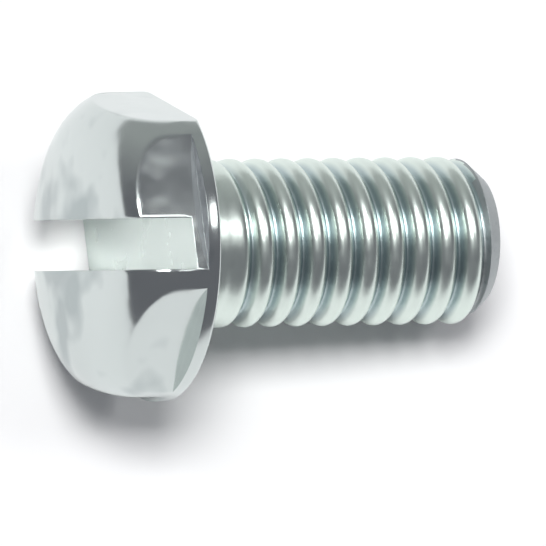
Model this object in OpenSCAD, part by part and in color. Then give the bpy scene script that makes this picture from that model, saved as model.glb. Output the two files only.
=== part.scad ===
// Slotted hexagon-head machine screw, one solid piece with a real right-hand thread.
// The origin is the centre of the bearing face under the head. The screw lies on one flat
// of its head and on the crest of its last turn of thread, as it comes to rest on a table.

/* [Thread] */
// Diameter over the crests of the thread
thread_d = 6; // [5:0.1:8]
// Pitch, from one crest to the next
pitch = 1; // [0.8:0.05:1.25]
// Length of the shank, from the bearing face to the tip
shank_length = 12; // [9:0.5:40]
// Width of the crest between two grooves
crest_width = 0.22; // [0.1:0.01:0.3]
// Width of the bottom of the groove
root_width = 0.14; // [0.08:0.01:0.25]
// Angle between the two flanks of the groove
flank_angle = 60; // [55:1:65]
// Plain neck between the bearing face and the first of the groove
neck_length = 0.84; // [0.4:0.01:2]
// Radius of the fillet between the neck and the bearing face
neck_fillet = 0.25; // [0.1:0.05:0.4]
// Length along which the groove grows from nothing to its full depth
runout_length = 1.6; // [0.5:0.1:3]

/* [Tip] */
// Diameter of the flat end of the tip
tip_d = 4.7; // [4:0.1:4.9]
// Angle of the tip's chamfer from the screw's axis
tip_angle = 40; // [25:1:55]

/* [Head] */
// Distance across the flats of the hexagon
across_flats = 10; // [9:0.1:12]
// Diameter of the round head at its base, which trims the corners of the hexagon
head_d = 11.2; // [10.4:0.1:14]
// Height of the head above the bearing face
head_height = 3.8; // [3.3:0.1:6]
// Angle at which the side of the head leans inwards
side_draft = 1.5; // [0.5:0.1:4]
// Radius of the rounded shoulder between the side and the top
shoulder_radius = 2; // [1:0.1:2.8]
// Radius of the slightly domed top
crown_radius = 20; // [12:1:60]
// Radius of the rounded edge round the bearing face
base_radius = 0.15; // [0.05:0.05:0.4]
// Height of the thin round rim at the base, where three of the flats stop short
rim_height = 0.5; // [0.3:0.1:0.8]

/* [Slot] */
// Width of the screwdriver slot
slot_width = 1.8; // [1:0.1:2.2]
// Depth of the slot below the middle of the top
slot_depth = 2.9; // [1.5:0.1:3]
// Turn of the slot from the middle of the flat that faces up
slot_turn = -17; // [-60:1:60]

/* [Hidden] */

thread_r = thread_d / 2;
head_r = head_d / 2;

// Form of the groove: a steep V with a flat bottom
half_flank = flank_angle / 2;
groove_width = pitch - crest_width;
groove_depth = (groove_width - root_width) / 2 / tan(half_flank);
// How far the cutter of the groove stands out past the crest
proud = 0.15;
// Segments in one turn of the groove
turn_steps = 40;
groove_start = -neck_length - groove_width / 2;
// The groove runs out past the tip
groove_end = -shank_length - pitch;
groove_steps = ceil((groove_start - groove_end) / pitch * turn_steps);

tip_chamfer = (thread_r - tip_d / 2) / tan(tip_angle);

// The round tools are drawn with this many sides, and stand for true circles
round_sides = 96;
// How far a cutter reaches past the face that it opens
clear = 1;

// The screw leans so that a flat of the head and the last crest touch one plane
rest_reach = shank_length - tip_chamfer;
rest_lean = atan((across_flats / 2 - thread_r) / rest_reach);

// Turns of the flats round the axis: the screw lies on one of those that are cut right through
through_turns = [60, 120, 180];
rimmed_turns = [-120, -60, 0];

// Centre of the shoulder's arc, which touches the leaning side and the crown's arc
crown_centre = head_height - crown_radius;
shoulder_tie = head_r - shoulder_radius / cos(side_draft);
tie_b = shoulder_tie * tan(side_draft) + crown_centre;
tie_a = 1 + tan(side_draft) ^ 2;
tie_c = shoulder_tie ^ 2 + crown_centre ^ 2 - (crown_radius - shoulder_radius) ^ 2;
shoulder_z = (tie_b + sqrt(tie_b ^ 2 - tie_a * tie_c)) / tie_a;
shoulder_x = shoulder_tie - shoulder_z * tan(side_draft);
// Angle from the level at which the shoulder's arc meets the crown's arc
crown_meets = atan2(shoulder_z - crown_centre, shoulder_x);
shoulder_steps = 16;
crown_steps = 4;
base_steps = 4;
fillet_sides = 32;

function arc(x, z, r, from, to, steps) = [
    for (i = [0 : steps])
        let (a = from + (to - from) * i / steps)
        [x + r * cos(a), z + r * sin(a)]
];

function smooth(t) = let (c = min(max(t, 0), 1)) c * c * (3 - 2 * c);

// Half of the head's section, from the middle of the bearing face up to the middle of the top
module head_section() {
    base_x = head_r - base_radius * (1 + tan(side_draft));
    polygon(concat(
        [[0, 0]],
        arc(base_x, base_radius, base_radius, -90, side_draft, base_steps),
        arc(shoulder_x, shoulder_z, shoulder_radius, side_draft, crown_meets, shoulder_steps),
        [
            for (i = [1 : crown_steps])
                let (a = crown_meets + (90 - crown_meets) * i / crown_steps)
                [crown_radius * cos(a), crown_centre + crown_radius * sin(a)]
        ]
    ));
}

// Cutter that trims one flat on the round head, down to the given height
module flat_cut(base) {
    translate([across_flats / 2, -head_d, base])
        cube([head_d, 2 * head_d, head_height + clear - base]);
}

module slot() {
    rotate(slot_turn)
        translate([-head_d, -slot_width / 2, head_height - slot_depth])
            cube([2 * head_d, slot_width, slot_depth + clear]);
}

module head() {
    difference() {
        rotate_extrude($fn = round_sides) head_section();
        for (turn = through_turns) rotate(turn) flat_cut(-clear);
        for (turn = rimmed_turns) rotate(turn) flat_cut(rim_height);
        slot();
    }
}

// Corners of the groove's section at one place: two at its bottom, two out past the crest
function groove_corners(bottom_r, z, a) =
    let (
        top_r = thread_r + proud,
        half_bottom = root_width / 2,
        half_top = half_bottom + (top_r - bottom_r) * tan(half_flank)
    )
    [
        for (p = [
            [bottom_r, z - half_bottom],
            [bottom_r, z + half_bottom],
            [top_r, z + half_top],
            [top_r, z - half_top]
        ])
        [p.x * cos(a), p.x * sin(a), p.y]
    ];

// The groove as one solid: a right-hand helix that fades in below the neck
module groove() {
    shallow_r = thread_r + proud / 2;
    deep_r = thread_r - groove_depth;
    corner_count = 4;
    sections = [
        for (i = [0 : groove_steps])
            let (
                down = i * pitch / turn_steps,
                grown = smooth(down / runout_length),
                bottom_r = shallow_r + (deep_r - shallow_r) * grown
            )
            groove_corners(bottom_r, groove_start - down, -i * 360 / turn_steps)
    ];
    sides = [
        for (i = [0 : groove_steps - 1])
            for (j = [0 : corner_count - 1])
                let (
                    p = i * corner_count + j,
                    q = i * corner_count + (j + 1) % corner_count
                )
                each [[p, q, q + corner_count], [p, q + corner_count, p + corner_count]]
    ];
    last = groove_steps * corner_count;
    ends = [
        [for (j = [corner_count - 1 : -1 : 0]) j],
        [for (j = [0 : corner_count - 1]) last + j]
    ];
    polyhedron([for (s = sections) each s], concat(sides, ends));
}

// Ring that fills the corner between the neck and the bearing face
module fillet_ring() {
    rotate_extrude($fn = round_sides)
        difference() {
            translate([thread_r - clear, -neck_fillet])
                square([clear + neck_fillet, neck_fillet]);
            translate([thread_r + neck_fillet, -neck_fillet])
                circle(r = neck_fillet, $fn = fillet_sides);
        }
}

module shank() {
    difference() {
        union() {
            translate([0, 0, -rest_reach])
                cylinder(h = rest_reach, r = thread_r, $fn = round_sides);
            translate([0, 0, -shank_length])
                cylinder(h = tip_chamfer, r1 = tip_d / 2, r2 = thread_r, $fn = round_sides);
        }
        groove();
    }
    fillet_ring();
}

// Turned from upright, head up, to lying with the tip towards +X
module screw() {
    color("silver")
        rotate([0, rest_lean - 90, 0]) {
            head();
            shank();
        }
}

screw();
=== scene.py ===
"""Slotted hexagon-head machine screw in bright zinc-plated steel, lying on a pale table."""

from math import atan, atan2, ceil, cos, pi, radians, sin, sqrt, tan

import bmesh
import bpy
from mathutils import Euler, Matrix, Vector


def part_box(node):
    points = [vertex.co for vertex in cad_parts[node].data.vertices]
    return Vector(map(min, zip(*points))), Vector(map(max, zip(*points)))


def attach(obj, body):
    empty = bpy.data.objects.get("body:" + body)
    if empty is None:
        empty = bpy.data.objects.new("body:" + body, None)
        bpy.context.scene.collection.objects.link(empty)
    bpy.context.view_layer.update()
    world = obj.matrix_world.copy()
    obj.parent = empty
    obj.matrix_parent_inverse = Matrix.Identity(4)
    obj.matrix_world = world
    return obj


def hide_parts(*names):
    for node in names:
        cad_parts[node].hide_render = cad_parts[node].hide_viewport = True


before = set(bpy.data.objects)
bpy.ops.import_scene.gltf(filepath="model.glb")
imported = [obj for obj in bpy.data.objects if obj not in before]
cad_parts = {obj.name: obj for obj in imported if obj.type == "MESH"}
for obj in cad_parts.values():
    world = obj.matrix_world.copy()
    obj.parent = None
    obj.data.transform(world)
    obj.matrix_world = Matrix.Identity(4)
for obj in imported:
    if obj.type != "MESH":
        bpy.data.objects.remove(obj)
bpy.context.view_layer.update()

# Sizes of the screw in millimetres, upright with its head up and its bearing face at zero
MM = 0.001
THREAD_R = 3.0
PITCH = 1.0
SHANK_LENGTH = 12.0
CREST_WIDTH = 0.22
HALF_FLANK = radians(30)
NECK_LENGTH = 0.84
NECK_FILLET = 0.25
RUNOUT_LENGTH = 1.6
TIP_R = 2.35
TIP_ANGLE = radians(40)
ACROSS_FLATS = 10.0
HEAD_R = 5.6
HEAD_HEIGHT = 3.8
SIDE_DRAFT = radians(1.5)
SHOULDER_R = 2.0
CROWN_R = 20.0
BASE_R = 0.15
RIM_HEIGHT = 0.5
SLOT_WIDTH = 1.8
SLOT_DEPTH = 2.9
SLOT_FLOOR = HEAD_HEIGHT - SLOT_DEPTH
SLOT_TURN = radians(-17)

# Turns of the flats in degrees: three are cut right through and three stop at the rim
THROUGH_FLATS = (60, 120, 180)
RIMMED_FLATS = (0, -60, -120)

# Fine shapes that the solids leave out: round crests, a hollow groove and softened edges
CREST_ROUND = 0.36
ROOT_WIDTH = 0.16
ROOT_HOLLOW = 0.06
EDGE_ROUND = 0.09

# Steps in a full turn of the head and of the thread
ROUND_STEPS = 144
THREAD_STEPS = 96
# How far a cutting tool reaches past what it cuts
CLEAR = 1.0
# Points closer than this are merged, and points closer to a cut than this are on it
SAME = 1e-4
ON_CUT = 1e-6

# Turning the upright screw until a flat of the head and the last crest touch the table
TIP_CHAMFER = (THREAD_R - TIP_R) / tan(TIP_ANGLE)
REST_REACH = SHANK_LENGTH - TIP_CHAMFER
REST_LEAN = atan((ACROSS_FLATS / 2 - THREAD_R) / REST_REACH)
LAY_DOWN = Matrix.Scale(MM, 4) @ Matrix.Rotation(REST_LEAN - pi / 2, 4, "Y")
TABLE_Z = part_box("screw")[0].z

# Directions on the screw as it lies: along its axis to the tip, out of the flat that faces up,
# level across it, out of the slot's mouth, and from the slot's middle to its walls
SCREW_AXIS = Vector((cos(REST_LEAN), 0, -sin(REST_LEAN)))
UP_FLAT = Vector((sin(REST_LEAN), 0, cos(REST_LEAN)))
ACROSS = Vector((0, 1, 0))
SLOT_UP = cos(SLOT_TURN) * UP_FLAT + sin(SLOT_TURN) * ACROSS
SLOT_SIDE = SLOT_UP.cross(SCREW_AXIS)

# Material slots of the screw's finishes, and the levels at which they change
HEAD, THREAD, SHADED_LEDGE, TIP, SLOT = range(5)
TIP_STARTS = -REST_REACH - 0.05
LEDGE_TOP = RIM_HEIGHT + 0.08
LEVEL = 0.01


# Small helpers

def arc(x, z, r, start, end, steps):
    """Points on an arc in the plane of the screw's section."""
    turns = [start + (end - start) * i / steps for i in range(steps + 1)]
    return [(x + r * cos(a), z + r * sin(a)) for a in turns]


def smooth(t):
    """A share from 0 to 1 that starts and ends gently."""
    t = min(max(t, 0.0), 1.0)
    return t * t * (3 - 2 * t)


def new_object(name, data):
    """An object in the scene."""
    made = bpy.data.objects.new(name, data)
    bpy.context.scene.collection.objects.link(made)
    return made


def finished(bm, name):
    """An object made from a bmesh, which is freed."""
    mesh = bpy.data.meshes.new(name)
    bm.to_mesh(mesh)
    bm.free()
    return new_object(name, mesh)


def with_modifiers(made):
    """Applies the modifiers of an object to its mesh."""
    graph = bpy.context.evaluated_depsgraph_get()
    mesh = bpy.data.meshes.new_from_object(made.evaluated_get(graph))
    made.modifiers.clear()
    made.data = mesh
    return made


def combine(made, tool, operation):
    """One boolean step, which uses up the tool."""
    step = made.modifiers.new("combine", "BOOLEAN")
    step.operation = operation
    step.object = tool
    step.solver = "EXACT"
    with_modifiers(made)
    bpy.data.objects.remove(tool)
    return made


def revolved(section, name):
    """A closed solid turned from half of its section, whose ends lie on the axis."""
    bm = bmesh.new()
    points = [bm.verts.new((x, 0, z)) for x, z in section]
    edges = [bm.edges.new(pair) for pair in zip(points, points[1:])]
    bmesh.ops.spin(
        bm, geom=points + edges, cent=(0, 0, 0), axis=(0, 0, 1),
        angle=2 * pi, steps=ROUND_STEPS, use_merge=True,
    )
    bmesh.ops.remove_doubles(bm, verts=bm.verts, dist=SAME)
    bmesh.ops.recalc_face_normals(bm, faces=bm.faces)
    return finished(bm, name)


# The head

def head_section():
    """Half of the head's section, from the middle of the bearing face to that of the top."""
    # The shoulder's arc touches the leaning side and the crown's arc
    crown_centre = HEAD_HEIGHT - CROWN_R
    tie = HEAD_R - SHOULDER_R / cos(SIDE_DRAFT)
    a = 1 + tan(SIDE_DRAFT) ** 2
    b = tie * tan(SIDE_DRAFT) + crown_centre
    c = tie ** 2 + crown_centre ** 2 - (CROWN_R - SHOULDER_R) ** 2
    shoulder_z = (b + sqrt(b * b - a * c)) / a
    shoulder_x = tie - shoulder_z * tan(SIDE_DRAFT)
    meets = atan2(shoulder_z - crown_centre, shoulder_x)
    base_x = HEAD_R - BASE_R * (1 + tan(SIDE_DRAFT))
    return (
        [(0, 0)]
        + arc(base_x, BASE_R, BASE_R, -pi / 2, SIDE_DRAFT, 4)
        + arc(shoulder_x, shoulder_z, SHOULDER_R, SIDE_DRAFT, meets, 18)
        + arc(0, crown_centre, CROWN_R, meets, pi / 2, 8)[1:]
    )


def cutting_block(start, end, width, base, turn):
    """A tall block from start to end along X, above its base, turned round the axis."""
    height = 2 * HEAD_HEIGHT
    bm = bmesh.new()
    bmesh.ops.create_cube(bm, size=1)
    bmesh.ops.scale(bm, vec=(end - start, width, height), verts=bm.verts)
    bmesh.ops.translate(bm, vec=((start + end) / 2, 0, base + height / 2), verts=bm.verts)
    bmesh.ops.rotate(
        bm, cent=(0, 0, 0), matrix=Matrix.Rotation(turn, 3, "Z"), verts=bm.verts
    )
    return finished(bm, "cutting_block")


def make_head():
    """Turned head with its six flats, its slot and softened edges."""
    head = revolved(head_section(), "head")
    flat = ACROSS_FLATS / 2
    for base, turns in ((-CLEAR, THROUGH_FLATS), (RIM_HEIGHT, RIMMED_FLATS)):
        for turn in turns:
            trim = cutting_block(flat, flat + HEAD_R, 2 * HEAD_R, base, radians(turn))
            combine(head, trim, "DIFFERENCE")
    slot = cutting_block(-2 * HEAD_R, 2 * HEAD_R, SLOT_WIDTH, SLOT_FLOOR, SLOT_TURN)
    combine(head, slot, "DIFFERENCE")
    rounding = head.modifiers.new("edges", "BEVEL")
    rounding.width = EDGE_ROUND
    rounding.segments = 3
    rounding.limit_method = "ANGLE"
    rounding.angle_limit = radians(18)
    return with_modifiers(head)


# The shank

def groove_section():
    """One pitch of thread from crest to crest, as points (how deep, how far along)."""
    # A round crest runs into a straight flank, which ends at a hollow bottom
    crest = arc(CREST_ROUND, PITCH / 2, CREST_ROUND, pi, 1.5 * pi - HALF_FLANK, 6)
    down, along = crest[-1]
    half_root = ROOT_WIDTH / 2
    foot = down + (along - half_root) / tan(HALF_FLANK)
    hollow = [(foot + ROOT_HOLLOW * (1 - s * s), half_root * s) for s in (1, 0.5, 0)]
    half = crest + hollow
    return half + [(down, -along) for down, along in reversed(half[:-1])]


def make_thread():
    """Neck and right-hand thread, closed by a flat face in the head and one past the tip."""
    first = -NECK_LENGTH - (PITCH - CREST_WIDTH) / 2
    spare = 0.3
    top, bottom = spare, -SHANK_LENGTH - spare
    turns_above = ceil((top - first) / PITCH) + 1
    turns = turns_above + ceil((first - bottom) / PITCH) + 1
    bm = bmesh.new()
    points = [
        bm.verts.new((THREAD_R - down, 0, first + turns_above * PITCH + along))
        for down, along in groove_section()
    ]
    edges = [bm.edges.new(pair) for pair in zip(points, points[1:])]
    bmesh.ops.spin(
        bm, geom=points + edges, cent=(0, 0, 0), axis=(0, 0, -1),
        dvec=(0, 0, -PITCH / THREAD_STEPS), angle=2 * pi * turns,
        steps=THREAD_STEPS * turns, use_merge=False,
    )
    bmesh.ops.remove_doubles(bm, verts=bm.verts, dist=SAME)
    # The groove grows from nothing along its run-out
    for v in bm.verts:
        r = v.co.xy.length
        grown = smooth((first - v.co.z) / RUNOUT_LENGTH)
        v.co.xy *= (THREAD_R - (THREAD_R - r) * grown) / r
    for z, way in ((top, 1), (bottom, -1)):
        bmesh.ops.bisect_plane(
            bm, geom=bm.verts[:] + bm.edges[:] + bm.faces[:], dist=ON_CUT,
            plane_co=(0, 0, z), plane_no=(0, 0, way), clear_outer=True,
        )
        open_edges = [e for e in bm.edges if e.is_boundary]
        rim = [e for e in open_edges if all(abs(v.co.z - z) < SAME for v in e.verts)]
        bmesh.ops.contextual_create(bm, geom=rim)
    bmesh.ops.recalc_face_normals(bm, faces=bm.faces)
    return finished(bm, "thread")


def make_shank():
    """The thread with its tip chamfered and cut off square."""
    wide = THREAD_R + CLEAR
    chamfer_top = CLEAR / tan(TIP_ANGLE) - REST_REACH
    tip_form = revolved(
        [(0, CLEAR), (wide, CLEAR), (wide, chamfer_top),
         (TIP_R, -SHANK_LENGTH), (0, -SHANK_LENGTH)], "tip_form",
    )
    return combine(make_thread(), tip_form, "INTERSECT")


def make_fillet():
    """A plug with the round corner between the neck and the bearing face, sunk into both."""
    corner_x = THREAD_R + NECK_FILLET
    in_head, in_neck, below = 0.1, 0.2, 0.02
    return revolved(
        [(0, in_head), (corner_x, in_head)]
        + arc(corner_x, -NECK_FILLET, NECK_FILLET, pi / 2, pi, 6)
        + [(THREAD_R - in_neck, -NECK_FILLET - below), (0, -NECK_FILLET - below)], "fillet",
    )


# The whole screw

def finish_of(face):
    """The slot of a face's finish, from its middle and the way it faces, head up."""
    x, z, upward = face.center.x, face.center.z, face.normal.z
    if z < TIP_STARTS:
        return TIP
    if z < -LEVEL:
        return THREAD
    # Only the ledge at the foot of the flat that faces up is rough and painted dark, as painted
    # shade
    if x > ACROSS_FLATS / 2 and z < LEDGE_TOP and upward > 0.3:
        return SHADED_LEDGE
    # The slot's floor gets a paler finish, as painted light
    if upward > 0.99 and abs(z - SLOT_FLOOR) < LEVEL:
        return SLOT
    return HEAD


screw = make_head()
combine(screw, make_shank(), "UNION")
combine(screw, make_fillet(), "UNION")
screw.name = "plated_screw"
for face in screw.data.polygons:
    face.material_index = finish_of(face)
screw.data.transform(LAY_DOWN)
screw.data.shade_smooth()
screw.data.set_sharp_from_angle(angle=radians(35))
weights = screw.modifiers.new("weights", "WEIGHTED_NORMAL")
weights.keep_sharp = True
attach(screw, "root")
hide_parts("screw")


# Materials

# Where edges turn from sharp to worn, in millimetres from the bearing face and from the
# middle of the slot, and the radius of a sharp one
WORN_ABOVE = (0.6, 1.2)
WORN_BESIDE = (0.8, 1.4)
SHARP_EDGE = 0.005
# Where painted shade on the crown starts, and where it is in full
CROWN_SHADE_LEVELS = (3.5, 3.68)
# The waves run between these values, and stains lie where they are lowest
WAVES = (0.3, 0.7)
STAINS = (0.24, 0.43)
# The groove is darkened with painted shade up to the first share of the thread's radius, and
# has its full colour from the second
GROOVE_SHADE = (0.90, 0.96)


def colour(code):
    """Linear colour from an sRGB hex code."""
    parts = [int(code[i:i + 2], 16) / 255 for i in (1, 3, 5)]
    linear = [c / 12.92 if c <= 0.04045 else ((c + 0.055) / 1.055) ** 2.4 for c in parts]
    return (*linear, 1)


def set_inputs(node, inputs):
    """Gives each input its value, or links it where another node's output is given."""
    for name, value in inputs.items():
        if isinstance(value, bpy.types.NodeSocket):
            node.id_data.links.new(value, node.inputs[name])
        else:
            node.inputs[name].default_value = value


def add_node(tree, kind, inputs=None, stops=(), **settings):
    """One node with its inputs, its settings and, on a colour ramp, its stops."""
    node = tree.nodes.new(kind)
    for name, value in settings.items():
        setattr(node, name, value)
    for i, (position, code) in enumerate(stops):
        node.color_ramp.elements[i].position = position
        node.color_ramp.elements[i].color = colour(code)
    set_inputs(node, inputs or {})
    return node


def rise(tree, place, direction, levels, least=0.0):
    """A share that grows from least to 1 between two levels along a direction, either way."""
    start, end = levels
    along = add_node(
        tree, "ShaderNodeVectorMath", {0: place, 1: direction}, operation="DOT_PRODUCT"
    ).outputs["Value"]
    away = add_node(tree, "ShaderNodeMath", {0: along}, operation="ABSOLUTE").outputs["Value"]
    return add_node(
        tree, "ShaderNodeMapRange",
        {"Value": away, "From Min": start * MM, "From Max": end * MM, "To Min": least},
    ).outputs["Result"]


def share_of_radius(tree, place):
    """How far a place is from the screw's axis, as a share of the thread's radius."""
    across = add_node(
        tree, "ShaderNodeVectorMath", {0: place, 1: SCREW_AXIS}, operation="CROSS_PRODUCT"
    ).outputs["Vector"]
    away = add_node(
        tree, "ShaderNodeVectorMath", {0: across}, operation="LENGTH"
    ).outputs["Value"]
    return add_node(
        tree, "ShaderNodeMath", {0: away, 1: THREAD_R * MM}, operation="DIVIDE"
    ).outputs["Value"]


def softened(tree, place, edge):
    """Normals with the edges worn to a radius in millimetres, but sharp by the rim and slot."""
    above_rim = rise(tree, place, SCREW_AXIS, WORN_ABOVE)
    off_slot = rise(tree, place, SLOT_SIDE, WORN_BESIDE, least=0.2)
    worn = add_node(
        tree, "ShaderNodeMath", {0: above_rim, 1: off_slot}, operation="MULTIPLY"
    ).outputs["Value"]
    radius = add_node(
        tree, "ShaderNodeMapRange",
        {"Value": worn, "To Min": SHARP_EDGE * MM, "To Max": edge * MM},
    ).outputs["Result"]
    return add_node(tree, "ShaderNodeBevel", {"Radius": radius}, samples=8).outputs["Normal"]


def free_of_stains_and_crown_shade(tree, place, waves, crown):
    """How free of stains and of painted shade a place is: the waves, less a share of them on
    the crown as painted shade.
    """
    on_crown = rise(tree, place, SCREW_AXIS, CROWN_SHADE_LEVELS)
    painted_crown_shade = add_node(
        tree, "ShaderNodeMath", {0: on_crown, 1: crown}, operation="MULTIPLY"
    ).outputs["Value"]
    return add_node(
        tree, "ShaderNodeMath", {0: waves, 1: painted_crown_shade}, operation="SUBTRACT"
    ).outputs["Value"]


def metal(name, code, darker_code, polish, edge, grain, height, crown=0.0, shaded_groove=False):
    """Metal with worn edges and slight waves, darker in its stains, and with painted shade on
    the crown or deep in the groove where asked.

    The radius of its edges, the size of its waves (grain) and their height are in
    millimetres, and its polish is the least and the most of its roughness.
    """
    made = bpy.data.materials.new(name)
    made.use_nodes = True
    tree = made.node_tree
    place = add_node(tree, "ShaderNodeTexCoord").outputs["Object"]
    waves = add_node(
        tree, "ShaderNodeTexNoise", {"Vector": place, "Scale": 1 / (grain * MM), "Detail": 2}
    ).outputs["Fac"]
    bump = add_node(
        tree, "ShaderNodeBump",
        {"Height": waves, "Normal": softened(tree, place, edge), "Distance": height * MM},
    )
    finish = add_node(
        tree, "ShaderNodeMapRange",
        {"Value": waves, "From Min": WAVES[0], "From Max": WAVES[1],
         "To Min": polish[0], "To Max": polish[1]},
    )
    # On the thread the groove is darkened as painted shade; elsewhere the stains, and painted
    # shade on the crown, darken the colour
    if shaded_groove:
        bright, levels = share_of_radius(tree, place), GROOVE_SHADE
    else:
        bright, levels = free_of_stains_and_crown_shade(tree, place, waves, crown), STAINS
    stops = zip(levels, (darker_code, code))
    tint = add_node(tree, "ShaderNodeValToRGB", {"Fac": bright}, stops)
    set_inputs(tree.nodes["Principled BSDF"], {
        "Metallic": 1,
        "Base Color": tint.outputs["Color"],
        "Roughness": finish.outputs["Result"],
        "Normal": bump.outputs["Normal"],
    })
    return made


FINISHES = {
    # Bright zinc plating on a cold-headed blank: close to a mirror, with slow waves left by the
    # die, worn edges that catch the light, and grey stains; the extra grey on the crown is
    # painted shade
    HEAD: metal(
        "bright_zinc_plating", "#ced5d3", "#abb4b4", (0.12, 0.2),
        edge=0.32, grain=2.2, height=0.05, crown=0.22,
    ),
    # Zinc plating on a rolled thread: satin and faintly green, with painted shade deep in the
    # groove
    THREAD: metal(
        "zinc_plated_thread", "#dce7e0", "#b4c3c4", (0.28, 0.36),
        edge=0.06, grain=0.5, height=0.004, shaded_groove=True,
    ),
    # Steel at the ledge: rough, with no clear glint; its dark grey is painted shade
    SHADED_LEDGE: metal(
        "ledge_steel_painted_shade", "#585a60", "#4e5056", (0.5, 0.6), edge=0.06, grain=0.3, height=0.004
    ),
    # Zinc plating over the sheared end of the blank: rough, with a darker grey that is painted
    # shade
    TIP: metal(
        "tip_zinc_plating_painted_shade", "#b0b5b6", "#9da3a5", (0.45, 0.55),
        edge=0.06, grain=0.3, height=0.005,
    ),
    # Zinc plating down in the slot: satin and faintly green, and paler than the head as painted
    # light
    SLOT: metal(
        "slot_zinc_plating_painted_light", "#dfe9e4", "#d4dfd9", (0.25, 0.35),
        edge=0.06, grain=1.0, height=0.004,
    ),
}
for slot in sorted(FINISHES):
    screw.data.materials.append(FINISHES[slot])

# The table is white uncoated paper: matt, so only the screw's soft shadow shows on it
TABLE_HALF = 1.5
bm = bmesh.new()
bmesh.ops.create_grid(
    bm, x_segments=1, y_segments=1, size=TABLE_HALF, matrix=Matrix.Translation((0, 0, TABLE_Z))
)
table = finished(bm, "table")
paper = bpy.data.materials.new("white_paper")
paper.use_nodes = True
set_inputs(
    paper.node_tree.nodes["Principled BSDF"],
    {"Base Color": colour("#fcfcfc"), "Roughness": 0.9},
)
table.data.materials.append(paper)

# The camera looks down on the flat that faces up, tilted towards the top of the head
LOOK_TILT = radians(22.3)
FLAT_TURN = radians(17)
ROLL = radians(0.8)
CAMERA_DISTANCE = 0.4
SENSOR = 36
# The frame in pixels, its scale, and where the middle of the bearing face lies in it
IMAGE = 546
PX_PER_MM = 28.2
ORIGIN_PX = (163.5, 244)

toward = cos(FLAT_TURN) * UP_FLAT - sin(FLAT_TURN) * ACROSS
back = cos(LOOK_TILT) * toward - sin(LOOK_TILT) * SCREW_AXIS
level_up = sin(FLAT_TURN) * UP_FLAT + cos(FLAT_TURN) * ACROSS
level_right = level_up.cross(back)
right = cos(ROLL) * level_right - sin(ROLL) * level_up
up = cos(ROLL) * level_up + sin(ROLL) * level_right
aim_x = (IMAGE / 2 - ORIGIN_PX[0]) / PX_PER_MM * MM
aim_y = (ORIGIN_PX[1] - IMAGE / 2) / PX_PER_MM * MM
camera = new_object("camera", bpy.data.cameras.new("camera"))
camera.matrix_world = Matrix((right, up, back)).transposed().to_4x4()
camera.location = right * aim_x + up * aim_y + back * CAMERA_DISTANCE
camera.data.sensor_width = SENSOR
camera.data.lens = SENSOR * CAMERA_DISTANCE / (IMAGE / PX_PER_MM * MM)
camera.data.clip_start = 0.01
camera.data.clip_end = 10
bpy.context.scene.camera = camera


# Light

def add_lamp(name, kind, place, turn, **settings):
    """A lamp at a place, turned from shining straight down."""
    lamp = new_object(name, bpy.data.lights.new(name, kind))
    lamp.matrix_world = Matrix.LocRotScale(place, turn, None)
    for key, value in settings.items():
        setattr(lamp.data, key, value)


# How far the two soft lamps are from the screw
LAMP_DISTANCE = 0.6
# The direction of the smaller lamp, beyond the tip
FAR_WAY = Vector((0.501, 0.049, 0.864))
# The middle of the patch of table that shows through the slot, and the way back up through it
SEEN_THROUGH = Vector((-2.6, 1.15, -4.92)) * MM
BEAM_TILT = radians(35)
BEAM = cos(BEAM_TILT) * SLOT_UP - sin(BEAM_TILT) * SCREW_AXIS
BEAM_LENGTH = 0.15

# The main soft lamp hangs nearly overhead and looks at the screw
add_lamp(
    "overhead_lamp", "AREA", Vector((-0.13, 0.10, 0.985)) * LAMP_DISTANCE,
    Euler((radians(-5.8), radians(-7.5), 0)),
    shape="RECTANGLE", size=0.24, size_y=0.22, energy=2.9,
)
# A smaller one shows on the neck and the tops of the thread
add_lamp(
    "far_lamp", "AREA", FAR_WAY * LAMP_DISTANCE, FAR_WAY.to_track_quat("Z", "Y"),
    size=0.16, energy=0.42,
)
# A narrow one shines down through the slot onto the table
add_lamp(
    "slot_lamp", "SPOT", SEEN_THROUGH + BEAM * BEAM_LENGTH, BEAM.to_track_quat("Z", "Y"),
    energy=1.2, spot_size=radians(1), spot_blend=1, shadow_soft_size=0.001,
)

# The room is a dim grey, paler towards +Y
world = bpy.data.worlds.new("room")
bpy.context.scene.world = world
world.use_nodes = True
way = add_node(world.node_tree, "ShaderNodeTexCoord").outputs["Generated"]
depth = add_node(world.node_tree, "ShaderNodeSeparateXYZ", {"Vector": way}).outputs["Y"]
walls = add_node(
    world.node_tree, "ShaderNodeValToRGB", {"Fac": depth}, ((0.3, "#74747a"), (0.9, "#aaadad"))
).outputs["Color"]
set_inputs(world.node_tree.nodes["Background"], {"Color": walls, "Strength": 1})

bpy.context.scene.view_settings.view_transform = "Standard"
bpy.context.view_layer.update()
